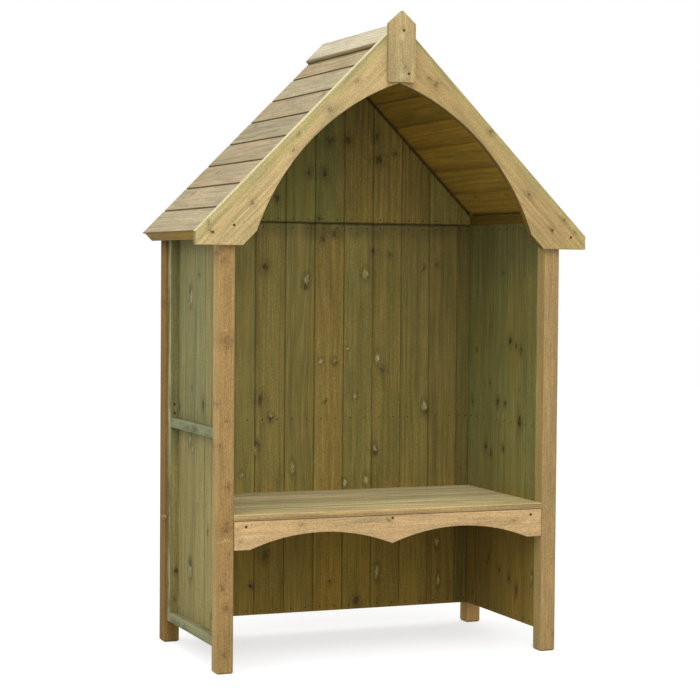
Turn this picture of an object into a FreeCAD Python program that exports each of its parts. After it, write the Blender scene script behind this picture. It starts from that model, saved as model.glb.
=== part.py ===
import FreeCAD, Part
import math
import os
import Sketcher

# Timber garden arbour seat. Millimetres. X to the right, front faces -Y, Z up.
# The ground is z = 0, and the middle of the object's outline is x = 0, y = 0.

Vector = FreeCAD.Vector
document = FreeCAD.newDocument("arbour_seat")

# The driving sizes, each with its alias in the sheet.
SIZES = {
    "post_size": "50",            # side of the square posts
    "frame_width": "1096",        # over the outer faces of the posts
    "frame_depth": "580",         # over the front and rear faces of the posts
    "post_easing": "3",           # rounding of the posts' long edges
    "foot_bevel": "5",            # bevel round the feet
    "panel_base": "69",           # clear height below the wall panels
    "panel_top": "1317",          # height of the wall panels' top
    "mid_rail_height": "692",     # middle of the middle rails
    "batten": "28",               # side of the square frame battens
    "board_thickness": "12",      # of the wall boards and the roof boards
    "board_cover": "100.5",       # width that one board covers
    "board_bevel": "2.5",         # half of the vee between two boards
    "tongue_length": "5",         # tongue on a board's edge
    "tongue_thickness": "4",
    "tongue_clearance": "0.3",    # slack of a tongue in its groove, or under its lip
    "wall_least_strip": "20",     # the ripped boards at a wall's ends are never narrower
    "board_joint": "2",           # open joint between wall boards and gable boards
    "roof_pitch": "45",           # slope of both roof sides in degrees
    "eaves_lift": "8",            # roof underside above the panels' outer top edge
    "eaves_overhang": "52",       # roof boards' lower edge beyond the posts
    "roof_overhang": "24",        # roof boards behind the rear posts
    "roof_least_strip": "36",     # the top strip of boards is never narrower
    "lip_thickness": "3",         # roof board's lower edge over the next board
    "lap_length": "8",            # how far the next board runs under the lip
    "roof_channel": "8",          # width of the vee in a roof board's face below the next lip
    "rail_setback": "4",          # eaves rail behind the lowest roof board's edge
    "roof_batten_depth": "21",    # depth of the rafters under the roof boards
    "eaves_rail_depth": "27",     # depth of the rails under the lowest roof boards
    "roof_batten_width": "28",
    "cap_thickness": "13",        # ridge cap boards
    "cap_width": "72",            # ridge cap, underside, apex to lower edge
    "plate_flat": "15",           # level top of the wall plates
    "gable_gap": "14",            # gable boards stop this far below the roof boards
    "barge_thickness": "24",
    "barge_overhang": "25",       # bargeboard's end cut beyond the roof boards
    "barge_proud": "16",          # bargeboard above the roof surface
    "barge_end_height": "40",     # height of a bargeboard's end cut
    "barge_easing": "2",          # eased front edges of the bargeboards
    "barge_tail": "184",          # end cut to the lower end of the arch
    "barge_tail_rise": "42",      # lower end of the arch above the bargeboard's base
    "arch_drop": "182",           # bargeboard peak to the arch's point
    "arch_bulge": "71",           # each side of the arch beyond its straight chord
    "finial_width": "85",
    "finial_thickness": "18",
    "finial_shoulder": "38",      # height of the finial's point
    "finial_rise": "27",          # finial's point above the bargeboard peak
    "seat_height": "460",         # top of the seat
    "seat_thickness": "18",
    "seat_boards": "5",           # how many boards the seat has
    "seat_gap": "2",              # gap between two seat boards
    "seat_easing": "3",           # rounded long edges of the seat boards
    "apron_clearance": "1.5",     # between each end of the apron and the post
    "apron_thickness": "20",
    "apron_height": "84",
    "apron_flat": "49",           # level end of the apron's lower edge
    "apron_arch_rise": "43",
    "bearer_width": "50",
    "bearer_depth": "34",
    "screw_head": "8",            # diameters of the screws
    "screw_shank": "4",
    "screw_head_depth": "2.5",
    "screw_clearance": "0.3",
    "finial_screw_top": "31",     # below the bargeboard peak
    "finial_screw_base": "25",    # above the arch's point
    "nail_head": "4.5",
    "nail_head_height": "0.8",
}

sheet = document.addObject("Spreadsheet::Sheet", "Sizes")
for row, (alias, number) in enumerate(SIZES.items(), start=1):
    sheet.set(f"A{row}", alias)
    sheet.set(f"B{row}", number)
    sheet.setAlias(f"B{row}", alias)
document.recompute()


class Size:
    """A length that knows its number and the expression that ties it to the sheet."""

    def __init__(self, number, text):
        self.number = number
        self.text = text

    def __add__(self, other):
        other = as_size(other)
        return Size(self.number + other.number, f"({self.text} + {other.text})")

    def __sub__(self, other):
        other = as_size(other)
        return Size(self.number - other.number, f"({self.text} - {other.text})")

    def __mul__(self, other):
        other = as_size(other)
        return Size(self.number * other.number, f"({self.text} * {other.text})")

    def __truediv__(self, other):
        other = as_size(other)
        return Size(self.number / other.number, f"({self.text} / {other.text})")

    def __radd__(self, other):
        return as_size(other) + self

    def __rsub__(self, other):
        return as_size(other) - self

    def __rmul__(self, other):
        return as_size(other) * self

    def __rtruediv__(self, other):
        return as_size(other) / self

    def __neg__(self):
        return Size(-self.number, f"(0 - {self.text})")


def as_size(value):
    if isinstance(value, Size):
        return value
    return Size(float(value), f"{float(value):.6f}")


def size(alias):
    return Size(float(sheet.get(alias)), f"Sizes.{alias}")


def tangent(angle):
    return Size(math.tan(math.radians(angle.number)), f"tan({angle.text} * 1 deg)")


def cosine(angle):
    return Size(math.cos(math.radians(angle.number)), f"cos({angle.text} * 1 deg)")


def root(square):
    return Size(math.sqrt(square.number), f"sqrt({square.text})")


def is_tied(value):
    return "Sizes." in value.text


# Places worked out from the driving sizes.
post_size = size("post_size")
batten = size("batten")
board_thickness = size("board_thickness")
board_cover = size("board_cover")
panel_base = size("panel_base")
panel_top = size("panel_top")
half_width = size("frame_width") / 2
half_depth = size("frame_depth") / 2
front_reach = size("barge_thickness") + size("finial_thickness")
post_middle = (front_reach - size("roof_overhang")) / 2
post_front = post_middle - half_depth
post_rear = post_middle + half_depth
inner_x = half_width - post_size
inner_front = post_front + post_size
inner_rear = post_rear - post_size
batten_x = inner_x + board_thickness
panel_outer_x = batten_x + batten

pitch = size("roof_pitch")
rise = tangent(pitch)
plumb = 1 / cosine(pitch)
under_apex = panel_top + size("eaves_lift") + rise * panel_outer_x
roof_apex = under_apex + board_thickness * plumb
rafter_apex = under_apex - size("roof_batten_depth") * plumb
raker_apex = under_apex - batten * plumb
gable_apex = under_apex - size("gable_gap") * plumb
gable_rail_top = panel_top + batten
roof_rear = post_rear + size("roof_overhang")
roof_length = roof_rear - post_front
roof_half_span = half_width + size("eaves_overhang")
roof_run = roof_half_span * plumb
rail_top_run = roof_run - size("roof_batten_width")
board_bevel = size("board_bevel")
channel_depth = size("lip_thickness") + size("tongue_clearance")
lap_reach = size("lap_length") - size("tongue_clearance")

barge_front = post_front - size("barge_thickness")
barge_peak = roof_apex + size("barge_proud") * plumb
barge_half = roof_half_span + size("barge_overhang")
barge_end_top = barge_peak - rise * barge_half
barge_base = barge_end_top - size("barge_end_height")
arch_foot = barge_half - size("barge_tail")
arch_foot_height = barge_base + size("barge_tail_rise")
arch_point = barge_peak - size("arch_drop")
arch_rise = arch_point - arch_foot_height
arch_bulge = size("arch_bulge")
arch_chord = root(arch_foot * arch_foot + arch_rise * arch_rise)
arch_radius = (arch_chord * arch_chord / 4 + arch_bulge * arch_bulge) / (2 * arch_bulge)
arch_hold = (arch_radius - arch_bulge) / arch_chord
arch_centre_x = arch_foot / 2 - arch_hold * arch_rise
arch_centre_z = arch_foot_height + arch_rise / 2 - arch_hold * arch_foot
barge_flat_end = arch_foot + arch_foot_height - barge_base

seat_top = size("seat_height")
seat_under = seat_top - size("seat_thickness")
apron_base = seat_under - size("apron_height")
apron_rear = post_front + size("apron_thickness")
bearer_width = size("bearer_width")
bearer_base = seat_under - size("bearer_depth")
ledger_front = inner_rear - batten

nodes = []


def keep(item, label):
    """Names an object as one of the pieces that are written out."""
    item.Label = label
    nodes.append(item)
    return item


def origin_plane(body, role):
    for feature in body.Origin.OriginFeatures:
        if feature.Role == role:
            return feature
    raise ValueError(role)


def tie(item, path, value):
    """Binds one property to the sheet."""
    if is_tied(value):
        item.setExpression(path, value.text)


def place(item, x=0, y=0, z=0, axis=None, angle=None):
    """Sets and binds a Placement, with an optional turn about one axis."""
    where = [as_size(x), as_size(y), as_size(z)]
    turn = FreeCAD.Rotation()
    if axis is not None:
        turn = FreeCAD.Rotation(axis, as_size(angle).number)
    item.Placement = FreeCAD.Placement(Vector(*[w.number for w in where]), turn)
    for name, value in zip("xyz", where):
        tie(item, f"Placement.Base.{name}", value)
    if angle is not None and is_tied(as_size(angle)):
        item.setExpression("Placement.Rotation.Angle", f"{as_size(angle).text} * 1 deg")


def fix_coordinate(sketch, kind, geometry, point, value):
    number = sketch.addConstraint(Sketcher.Constraint(kind, -1, 1, geometry, point, value.number))
    if is_tied(value):
        sketch.setExpression(f"Constraints[{number}]", value.text)


class Bow:
    """An arc to the next point of an outline, by its centre and radius."""

    def __init__(self, centre_u, centre_v, radius, clockwise):
        self.centre = (as_size(centre_u), as_size(centre_v))
        self.radius = as_size(radius)
        self.clockwise = clockwise


def outline_sketch(body, plane, outline):
    """A closed sketch. An item is a (u, v) point, or (u, v, Bow) where an arc starts."""
    sketch = body.newObject("Sketcher::SketchObject", "Outline")
    sketch.AttachmentSupport = [(origin_plane(body, plane), "")]
    sketch.MapMode = "FlatFace"
    points = [(as_size(item[0]), as_size(item[1])) for item in outline]
    bows = [item[2] if len(item) > 2 else None for item in outline]
    count = len(points)
    starts = []
    for index in range(count):
        here = Vector(points[index][0].number, points[index][1].number, 0)
        after = points[(index + 1) % count]
        there = Vector(after[0].number, after[1].number, 0)
        bow = bows[index]
        if bow is None:
            sketch.addGeometry(Part.LineSegment(here, there), False)
            starts.append((1, 2))
            continue
        centre = Vector(bow.centre[0].number, bow.centre[1].number, 0)
        circle = Part.Circle(centre, Vector(0, 0, 1), bow.radius.number)
        first, last = (there, here) if bow.clockwise else (here, there)
        low = math.atan2(first.y - centre.y, first.x - centre.x)
        high = math.atan2(last.y - centre.y, last.x - centre.x)
        sketch.addGeometry(Part.ArcOfCircle(circle, low, high), False)
        starts.append((2, 1) if bow.clockwise else (1, 2))
    for index in range(count):
        after = (index + 1) % count
        joint = Sketcher.Constraint("Coincident", index, starts[index][1], after, starts[after][0])
        sketch.addConstraint(joint)
    for index, (u, v) in enumerate(points):
        fix_coordinate(sketch, "DistanceX", index, starts[index][0], u)
        fix_coordinate(sketch, "DistanceY", index, starts[index][0], v)
        if bows[index] is not None:
            radius = bows[index].radius
            number = sketch.addConstraint(Sketcher.Constraint("Radius", index, radius.number))
            tie(sketch, f"Constraints[{number}]", radius)
    return sketch


def padded(label, plane, outline, length):
    """A body with one outline and one pad. Pads on XZ_Plane grow towards -Y."""
    body = document.addObject("PartDesign::Body", label)
    body.Label = label
    sketch = outline_sketch(body, plane, outline)
    pad = body.newObject("PartDesign::Pad", "Pad")
    pad.Profile = sketch
    length = as_size(length)
    pad.Length = length.number
    tie(pad, "Length", length)
    return body


def rectangle(u0, v0, u1, v1):
    return [(u0, v0), (u1, v0), (u1, v1), (u0, v1)]


def bar_along_x(label, x0, x1, y0, y1, z0, z1):
    body = padded(label, "YZ_Plane", rectangle(y0, z0, y1, z1), x1 - x0)
    place(body, x=x0)
    return body


def bar_along_y(label, x0, x1, y0, y1, z0, z1):
    body = padded(label, "XZ_Plane", rectangle(x0, z0, x1, z1), y1 - y0)
    place(body, y=y1)
    return body


def bar_along_z(label, x0, x1, y0, y1, z0, z1):
    body = padded(label, "XY_Plane", rectangle(x0, y0, x1, y1), z1 - z0)
    place(body, z=z0)
    return body


def mirrored_span(side, low, high):
    """The X range of a piece on the right, or the same range mirrored to the left."""
    if side > 0:
        return low, high
    return -high, -low


def dress_edges(body, kind, amount, chooser):
    """Adds a fillet or a chamfer to the edges that the chooser accepts."""
    document.recompute()
    tip = body.Tip
    names = [f"Edge{number}" for number, edge in enumerate(tip.Shape.Edges, start=1) if chooser(edge)]
    feature = body.newObject(f"PartDesign::{kind}", kind)
    feature.Base = (tip, names)
    measure = "Radius" if kind == "Fillet" else "Size"
    setattr(feature, measure, amount.number)
    tie(feature, measure, amount)
    body.Tip = feature


def is_upright(edge):
    box = edge.BoundBox
    return box.XLength < 0.01 and box.YLength < 0.01 and box.ZLength > 100


def is_on_ground(edge):
    return edge.BoundBox.ZMax < 0.01


# Screws: a head let into the surface and a shank, and the holes that take them.
screw_parts = []


def cylinder(label, radius, height, at, axis, angle):
    item = document.addObject("Part::Cylinder", label)
    item.Label = label
    item.Radius = radius.number
    item.Height = height.number
    tie(item, "Radius", radius)
    tie(item, "Height", height)
    place(item, at[0], at[1], at[2], axis, angle)
    return item


def screw(label, at, length, towards_rear=True):
    """A screw along Y, its head flush at the point. Gives back the tool for its hole."""
    angle = -90 if towards_rear else 90
    across = Vector(1, 0, 0)
    slack = size("screw_clearance")
    head_radius = size("screw_head") / 2
    shank_radius = size("screw_shank") / 2
    head_depth = size("screw_head_depth")
    head = cylinder(f"{label}_head", head_radius, head_depth, at, across, angle)
    shank = cylinder(f"{label}_shank", shank_radius, length, at, across, angle)
    whole = document.addObject("Part::Fuse", f"{label}_screw")
    whole.Base = head
    whole.Tool = shank
    screw_parts.append(whole)
    sink = cylinder(f"{label}_sink", head_radius + slack, head_depth, at, across, angle)
    bore = cylinder(f"{label}_bore", shank_radius + slack, length + slack, at, across, angle)
    hole = document.addObject("Part::Fuse", f"{label}_hole")
    hole.Base = sink
    hole.Tool = bore
    return hole


def drilled(blank, label, holes):
    """The blank less its screw holes, kept under its own name."""
    blank.Label = f"{label}_blank"
    group = document.addObject("Part::Compound", f"{label}_holes")
    group.Links = holes
    cut = document.addObject("Part::Cut", f"{label}_drilled")
    cut.Base = blank
    cut.Tool = group
    return keep(cut, label)


# Matchboards: tongue on one edge, groove on the other, vee-jointed on both faces.
def matchboard_profile(width, has_groove, has_tongue):
    """Points of a board's section: u across the width, v from face (0) to back."""
    bevel = size("board_bevel")
    middle = board_thickness / 2
    half_tongue = size("tongue_thickness") / 2
    half_groove = half_tongue + size("tongue_clearance")
    groove_depth = size("tongue_length") + size("tongue_clearance")
    points = [(0, bevel), (bevel, 0), (width - bevel, 0), (width, bevel)]
    if has_tongue:
        tip = width + size("tongue_length")
        points += [(width, middle - half_tongue), (tip, middle - half_tongue)]
        points += [(tip, middle + half_tongue), (width, middle + half_tongue)]
    points += [(width, board_thickness - bevel), (width - bevel, board_thickness)]
    points += [(bevel, board_thickness), (0, board_thickness - bevel)]
    if has_groove:
        points += [(0, middle + half_groove), (groove_depth, middle + half_groove)]
        points += [(groove_depth, middle - half_groove), (0, middle - half_groove)]
    return points


def board_layout(width):
    """Start and width of each board over a width: whole boards, with ripped ones at the ends."""
    whole = 2 * math.floor((width.number / board_cover.number - 1) / 2) + 1
    edge = (width - whole * board_cover) / 2
    if edge.number < size("wall_least_strip").number:
        whole -= 2
        edge = (width - whole * board_cover) / 2
    layout = [(as_size(0), edge)]
    for index in range(whole):
        layout.append((edge + index * board_cover, board_cover))
    layout.append((edge + whole * board_cover, edge))
    return layout


# Posts. The roof bears on their sloping tops: the front rafters in front, the boards behind.
def make_post(label, side, front_face, bearing_apex):
    near = side * inner_x
    far = side * half_width
    outline = [(near, 0), (far, 0), (far, bearing_apex - rise * half_width)]
    outline.append((near, bearing_apex - rise * inner_x))
    body = padded(label, "XZ_Plane", outline, post_size)
    place(body, y=front_face + post_size)
    dress_edges(body, "Chamfer", size("foot_bevel"), is_on_ground)
    dress_edges(body, "Fillet", size("post_easing"), is_upright)
    return body


# Side walls: an outer frame of battens between the posts, boards on its inner side.
def make_side_wall(name, side):
    x0, x1 = mirrored_span(side, batten_x, panel_outer_x)
    stile_inner_front = inner_front + batten
    stile_inner_rear = inner_rear - batten
    stiles = {
        "front": bar_along_z(f"side_{name}_front_stile", x0, x1, inner_front, stile_inner_front,
                             panel_base, panel_top),
        "rear": bar_along_z(f"side_{name}_rear_stile", x0, x1, stile_inner_rear, inner_rear,
                            panel_base, panel_top),
    }
    mid_base = size("mid_rail_height") - batten / 2
    rails = {"bottom": panel_base, "mid": mid_base, "top": panel_top - batten}
    for rail, base in rails.items():
        label = f"side_{name}_{rail}_rail"
        rail_body = bar_along_y(label, x0, x1, stile_inner_front, stile_inner_rear, base, base + batten)
        keep(rail_body, label)
    span = inner_rear - inner_front
    board_x = inner_x if side > 0 else -inner_x
    layout = board_layout(span)
    for index, (start, width) in enumerate(layout):
        has_groove = index > 0
        has_tongue = index < len(layout) - 1
        profile = matchboard_profile(width, has_groove, has_tongue)
        outline = [(side * v, u) for u, v in profile]
        label = f"side_{name}_board_{index + 1}"
        board = padded(label, "XY_Plane", outline, panel_top - panel_base)
        place(board, x=board_x, y=inner_front + start, z=panel_base)
        keep(board, label)
    return stiles


# Back wall: boards flush with the inner faces of the rear posts, frame behind them.
def make_back_wall():
    y0 = inner_rear + board_thickness
    y1 = y0 + batten
    stile_in = inner_x - batten
    for name, side in (("left", -1), ("right", 1)):
        x0, x1 = mirrored_span(side, stile_in, inner_x)
        label = f"back_{name}_stile"
        keep(bar_along_z(label, x0, x1, y0, y1, panel_base, panel_top), label)
    mid_base = size("mid_rail_height") - batten / 2
    rails = {"bottom": panel_base, "mid": mid_base, "top": panel_top - batten}
    for rail, base in rails.items():
        label = f"back_{rail}_rail"
        keep(bar_along_x(label, -stile_in, stile_in, y0, y1, base, base + batten), label)
    boards = make_upright_boards("back_board", panel_base, panel_top)
    group = document.addObject("Part::Compound", "back_boards")
    group.Links = boards
    keep(group, "back_boards")


def make_upright_boards(name, base, top):
    boards = []
    layout = board_layout(inner_x * 2)
    for index, (start, width) in enumerate(layout):
        has_groove = index > 0
        has_tongue = index < len(layout) - 1
        profile = matchboard_profile(width, has_groove, has_tongue)
        board = padded(f"{name}_{index + 1}", "XY_Plane", profile, top - base)
        place(board, x=start - inner_x, y=inner_rear, z=base)
        boards.append(board)
    return boards


# Gable: a rail on the back wall, two raking battens, and boards in line with the wall's.
def make_gable():
    y0 = inner_rear + board_thickness
    y1 = y0 + batten
    keep(bar_along_x("gable_rail", -inner_x, inner_x, y0, y1, panel_top, gable_rail_top), "gable_rail")
    heel = (raker_apex - gable_rail_top) / rise
    for name, side in (("left", -1), ("right", 1)):
        outline = [(0, under_apex), (side * inner_x, under_apex - rise * inner_x)]
        outline += [(side * inner_x, gable_rail_top), (side * heel, gable_rail_top), (0, raker_apex)]
        label = f"gable_{name}_raker"
        body = padded(label, "XZ_Plane", outline, batten)
        place(body, y=y1)
        keep(body, label)
    base = panel_top + size("board_joint")
    shoulder = gable_apex - rise * inner_x
    outline = [(-inner_x, base), (inner_x, base), (inner_x, shoulder)]
    outline += [(0, gable_apex), (-inner_x, shoulder)]
    gable_shape = padded("gable_outline", "XZ_Plane", outline, board_thickness)
    place(gable_shape, y=inner_rear + board_thickness)
    pieces = []
    for board in make_upright_boards("gable_blank", base, gable_apex):
        piece = document.addObject("Part::Common", "gable_board")
        piece.Base = board
        piece.Tool = gable_shape
        pieces.append(piece)
    group = document.addObject("Part::Compound", "gable_boards")
    group.Links = pieces
    keep(group, "gable_boards")


def make_wall_plate(name, side):
    """The plate on a side wall, its outer top edge planed to the roof's slope."""
    flat_end = inner_x + size("plate_flat")
    flat_height = under_apex - rise * flat_end
    outline = [(inner_x, panel_top), (panel_outer_x, panel_top)]
    outline += [(panel_outer_x, under_apex - rise * panel_outer_x)]
    outline += [(flat_end, flat_height), (inner_x, flat_height)]
    label = f"{name}_wall_plate"
    body = padded(label, "XZ_Plane", [(side * u, v) for u, v in outline], inner_rear - inner_front)
    place(body, y=inner_rear)
    keep(body, label)


# Roof pieces are drawn along the slope: u down the slope from the apex, v square to it.
def sloped(label, side, outline, front, rear):
    body = padded(label, "XZ_Plane", [(u, side * v) for u, v in outline], rear - front)
    angle = pitch if side > 0 else 180 - pitch
    place(body, y=rear, z=roof_apex, axis=Vector(0, 1, 0), angle=angle)
    return body


def lip_outline(end):
    """The lower edge of a roof board, from its underside up round the rebate and the lip to its face."""
    heel = end - size("lap_length")
    lip = size("lip_thickness")
    outline = [(heel - board_bevel, -board_thickness), (heel, board_bevel - board_thickness)]
    return outline + [(heel, -lip), (end, -lip), (end, 0)]


def shiplap_outline(start, width):
    """A roof board's section, whose face falls to a vee below the lip of the board above."""
    face = start + size("roof_channel")
    tongue = start - lap_reach
    outline = [(tongue + board_bevel, -board_thickness)] + lip_outline(start + width)
    outline += [(face, 0), (start, -channel_depth), (tongue, -channel_depth)]
    return outline + [(tongue, board_bevel - board_thickness)]


def make_roof_side(name, side):
    least_strip = size("roof_least_strip")
    whole = math.floor((roof_run.number - least_strip.number) / board_cover.number)
    top_width = roof_run - whole * board_cover
    mitre = board_thickness * rise
    boards = []
    for index in range(whole + 1):
        if index == 0:
            outline = [(0, 0), (mitre, -board_thickness)] + lip_outline(top_width)
        else:
            outline = shiplap_outline(top_width + (index - 1) * board_cover, board_cover)
        boards.append(sloped(f"roof_{name}_board_{index + 1}", side, outline, post_front, roof_rear))
    group = document.addObject("Part::Compound", f"roof_{name}_boards")
    group.Links = boards
    keep(group, f"roof_{name}_boards")

    under = board_thickness
    batten_base = board_thickness + size("roof_batten_depth")
    rafter_outline = [(under * rise, -under), (batten_base * rise, -batten_base)]
    rafter_outline += [(rail_top_run, -batten_base), (rail_top_run, -under)]
    rafter = sloped(f"{name}_front_rafter", side, rafter_outline, post_front,
                    post_front + size("roof_batten_width"))
    keep(rafter, f"{name}_front_rafter")
    cap_rise = size("cap_thickness")
    cap_width = size("cap_width")
    cap_outline = [(0, 0), (cap_width, 0), (cap_width, cap_rise), (-cap_rise * rise, cap_rise)]
    keep(sloped(f"ridge_cap_{name}", side, cap_outline, post_front, roof_rear), f"ridge_cap_{name}")
    heel = roof_run - lap_reach
    edge = roof_run - size("rail_setback")
    rail_base = board_thickness + size("eaves_rail_depth")
    rail_outline = [(rail_top_run, -rail_base), (edge, -rail_base), (edge, -channel_depth)]
    rail_outline += [(heel, -channel_depth), (heel, -under), (rail_top_run, -under)]
    return sloped(f"{name}_eaves_rail", side, rail_outline, post_front, roof_rear)


# Bargeboards: plumb end cut, level base, a bevelled corner, then an arc up to the point.
def make_bargeboard(name, side):
    bow = Bow(side * arch_centre_x, arch_centre_z, arch_radius, clockwise=side < 0)
    outline = [(0, barge_peak), (side * barge_half, barge_end_top), (side * barge_half, barge_base)]
    outline += [(side * barge_flat_end, barge_base), (side * arch_foot, arch_foot_height, bow)]
    outline += [(0, arch_point)]
    body = padded(f"bargeboard_{name}", "XZ_Plane", outline, size("barge_thickness"))
    place(body, y=post_front)

    def is_front_edge(edge):
        box = edge.BoundBox
        in_front_face = box.YMax < 0.01 - size("barge_thickness").number
        at_joint = box.XLength < 0.01 and abs(box.XMin) < 0.01
        return in_front_face and not at_joint

    dress_edges(body, "Chamfer", size("barge_easing"), is_front_edge)
    return body


def make_finial():
    half = size("finial_width") / 2
    point = barge_peak + size("finial_rise")
    shoulder = point - size("finial_shoulder")
    outline = [(-half, arch_point), (half, arch_point), (half, shoulder), (0, point), (-half, shoulder)]
    body = padded("finial", "XZ_Plane", outline, size("finial_thickness"))
    place(body, y=barge_front)
    return body


# Seat: boards from wall to wall on bearers, with a shaped apron between the front posts.
def make_seat():
    depth = inner_rear - post_front
    gap = size("seat_gap")
    count = round(size("seat_boards").number)
    width = (depth + gap) / count - gap
    for index in range(count):
        start = post_front + index * (width + gap)
        label = f"seat_board_{index + 1}"
        board = bar_along_x(label, -inner_x, inner_x, start, start + width, seat_under, seat_top)

        def is_long(edge):
            return edge.BoundBox.XLength > 100

        dress_edges(board, "Fillet", size("seat_easing"), is_long)
        keep(board, label)

    label = "seat_back_ledger"
    ledger = bar_along_x(label, -inner_x, inner_x, ledger_front, inner_rear, bearer_base, seat_under)
    keep(ledger, label)
    spans = {
        "left": (-inner_x, bearer_width - inner_x),
        "middle": (-bearer_width / 2, bearer_width / 2),
        "right": (inner_x - bearer_width, inner_x),
    }
    bearers = {}
    for name, (x0, x1) in spans.items():
        label = f"seat_{name}_bearer"
        bearers[name] = bar_along_y(label, x0, x1, apron_rear, ledger_front, bearer_base, seat_under)
    return bearers


def make_apron():
    flat_start = inner_x - size("apron_flat")
    arch_rise = size("apron_arch_rise")
    half_chord = flat_start / 2
    radius = (half_chord * half_chord + arch_rise * arch_rise) / (2 * arch_rise)
    centre_v = apron_base + arch_rise - radius
    right_bow = Bow(half_chord, centre_v, radius, clockwise=True)
    left_bow = Bow(-half_chord, centre_v, radius, clockwise=True)
    end = inner_x - size("apron_clearance")
    outline = [(end, seat_under), (-end, seat_under), (-end, apron_base)]
    outline += [(-flat_start, apron_base, left_bow), (0, apron_base, right_bow)]
    outline += [(flat_start, apron_base), (end, apron_base)]
    body = padded("apron", "XZ_Plane", outline, size("apron_thickness"))
    place(body, y=apron_rear)
    return body


# Nail heads lie on the boards, two to a board over each batten behind them.
def nail_head(at, axis, angle):
    return cylinder("nail_head", size("nail_head") / 2, size("nail_head_height"), at, axis, angle)


def make_nails():
    half_batten = batten / 2
    rows = [panel_base + half_batten, size("mid_rail_height"), panel_top - half_batten]
    raking_apex = raker_apex + half_batten * plumb
    heads = []
    for start, width in board_layout(inner_x * 2):
        for share in (0.25, 0.75):
            x = start + share * width - inner_x
            side = 1 if x.number > 0 else -1
            heights = rows + [panel_top + half_batten, raking_apex - side * rise * x]
            heads += [nail_head((x, inner_rear, z), Vector(1, 0, 0), 90) for z in heights]
    for start, width in board_layout(inner_rear - inner_front):
        for share in (0.25, 0.75):
            y = inner_front + start + share * width
            for side in (-1, 1):
                heads += [nail_head((side * inner_x, y, z), Vector(0, 1, 0), -90 * side) for z in rows]
    group = document.addObject("Part::Compound", "wall_nails")
    group.Links = heads
    keep(group, "wall_nails")


def write_pieces():
    """Checks every object, then writes each piece's shape to its own file."""
    document.recompute()
    for item in document.Objects:
        if "Invalid" in item.State or "Error" in item.State:
            raise RuntimeError(f"{item.Label} failed: {item.State}")
    for item in nodes:
        if item.Shape.isNull() or not item.Shape.isValid() or not item.Shape.Solids:
            raise RuntimeError(f"{item.Label} has no valid solid")
    os.makedirs("parts", exist_ok=True)
    for item in nodes:
        item.Shape.exportStep(f"parts/{item.Label}.step")
        box = item.Shape.BoundBox
        spans = (box.XMin, box.XMax, box.YMin, box.YMax, box.ZMin, box.ZMax)
        print(item.Label, len(item.Shape.Solids), *[round(value, 1) for value in spans])


def make_stile_screws(stiles, name, side):
    """Two screws above the middle rail hold each side stile to its post."""
    x = side * (batten_x + batten / 2)
    holes = {}
    for end, stile in stiles.items():
        towards_rear = end == "rear"
        head_y = inner_rear - batten if towards_rear else inner_front + batten
        holes[end] = []
        for index in (1, 2):
            at = (x, head_y, size("mid_rail_height") + index * batten)
            label = f"{name}_{end}_stile_{index}"
            holes[end].append(screw(label, at, batten + post_size / 2, towards_rear))
        drilled(stile, f"side_{name}_{end}_stile", holes[end])
    return holes


def make_barge_screws(name, side):
    """One screw into the end of the eaves rail, and one into the front post."""
    length = size("barge_thickness") + size("roof_batten_width") / 2
    u = roof_run - size("roof_batten_width") / 2
    v = board_thickness + size("roof_batten_depth") / 2
    rail_at = (side * (u - v * rise) / plumb, barge_front, roof_apex - (u * rise + v) / plumb)
    post_x = inner_x + post_size / 4
    post_at = (side * post_x, barge_front, rafter_apex - rise * post_x - batten)
    return screw(f"barge_{name}_rail", rail_at, length), screw(f"barge_{name}_post", post_at, length)


def make_finial_screws():
    front = barge_front - size("finial_thickness")
    length = size("finial_thickness") + size("barge_thickness") / 2
    upper = (size("screw_head") / 2, front, barge_peak - size("finial_screw_top"))
    lower = (size("finial_width") / 4, front, arch_point + size("finial_screw_base"))
    return [screw("finial_upper", upper, length), screw("finial_lower", lower, length)]


def make_apron_screws(bearers):
    length = size("apron_thickness") + bearer_width / 2
    side_x = inner_x - bearer_width * 3 / 4
    side_z = seat_under - size("bearer_depth") / 2
    places = {
        "left": (-side_x, post_front, side_z),
        "middle": (0, post_front, seat_under - size("bearer_depth") / 4),
        "right": (side_x, post_front, side_z),
    }
    holes = []
    for name, at in places.items():
        hole = screw(f"apron_{name}", at, length)
        drilled(bearers[name], f"seat_{name}_bearer", [hole])
        holes.append(hole)
    return holes


def main():
    posts = {}
    holes = {}
    for name, side in (("left", -1), ("right", 1)):
        posts["front", name] = make_post(f"post_front_{name}", side, post_front, rafter_apex)
        posts["rear", name] = make_post(f"post_rear_{name}", side, inner_rear, under_apex)
        stiles = make_side_wall(name, side)
        make_wall_plate(name, side)
        for end, stile_holes in make_stile_screws(stiles, name, side).items():
            holes[end, name] = stile_holes
    make_back_wall()
    make_gable()

    finial_holes = make_finial_screws()
    drilled(make_finial(), "finial", finial_holes)
    for name, side in (("left", -1), ("right", 1)):
        rail = make_roof_side(name, side)
        board = make_bargeboard(name, side)
        rail_hole, post_hole = make_barge_screws(name, side)
        drilled(rail, f"{name}_eaves_rail", [rail_hole])
        holes["front", name].append(post_hole)
        board_holes = [rail_hole, post_hole]
        if side > 0:
            board_holes += finial_holes
        drilled(board, f"bargeboard_{name}", board_holes)
    for (end, name), body in posts.items():
        drilled(body, f"post_{end}_{name}", holes[end, name])

    bearers = make_seat()
    drilled(make_apron(), "apron", make_apron_screws(bearers))
    group = document.addObject("Part::Compound", "screws")
    group.Links = screw_parts
    keep(group, "screws")
    make_nails()
    write_pieces()


main()
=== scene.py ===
"""Arbour seat: the finish of the timber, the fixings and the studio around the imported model."""

import math

import bmesh
import bpy
from bpy.props import FloatProperty, FloatVectorProperty, PointerProperty
from mathutils import Matrix, Vector


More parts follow.
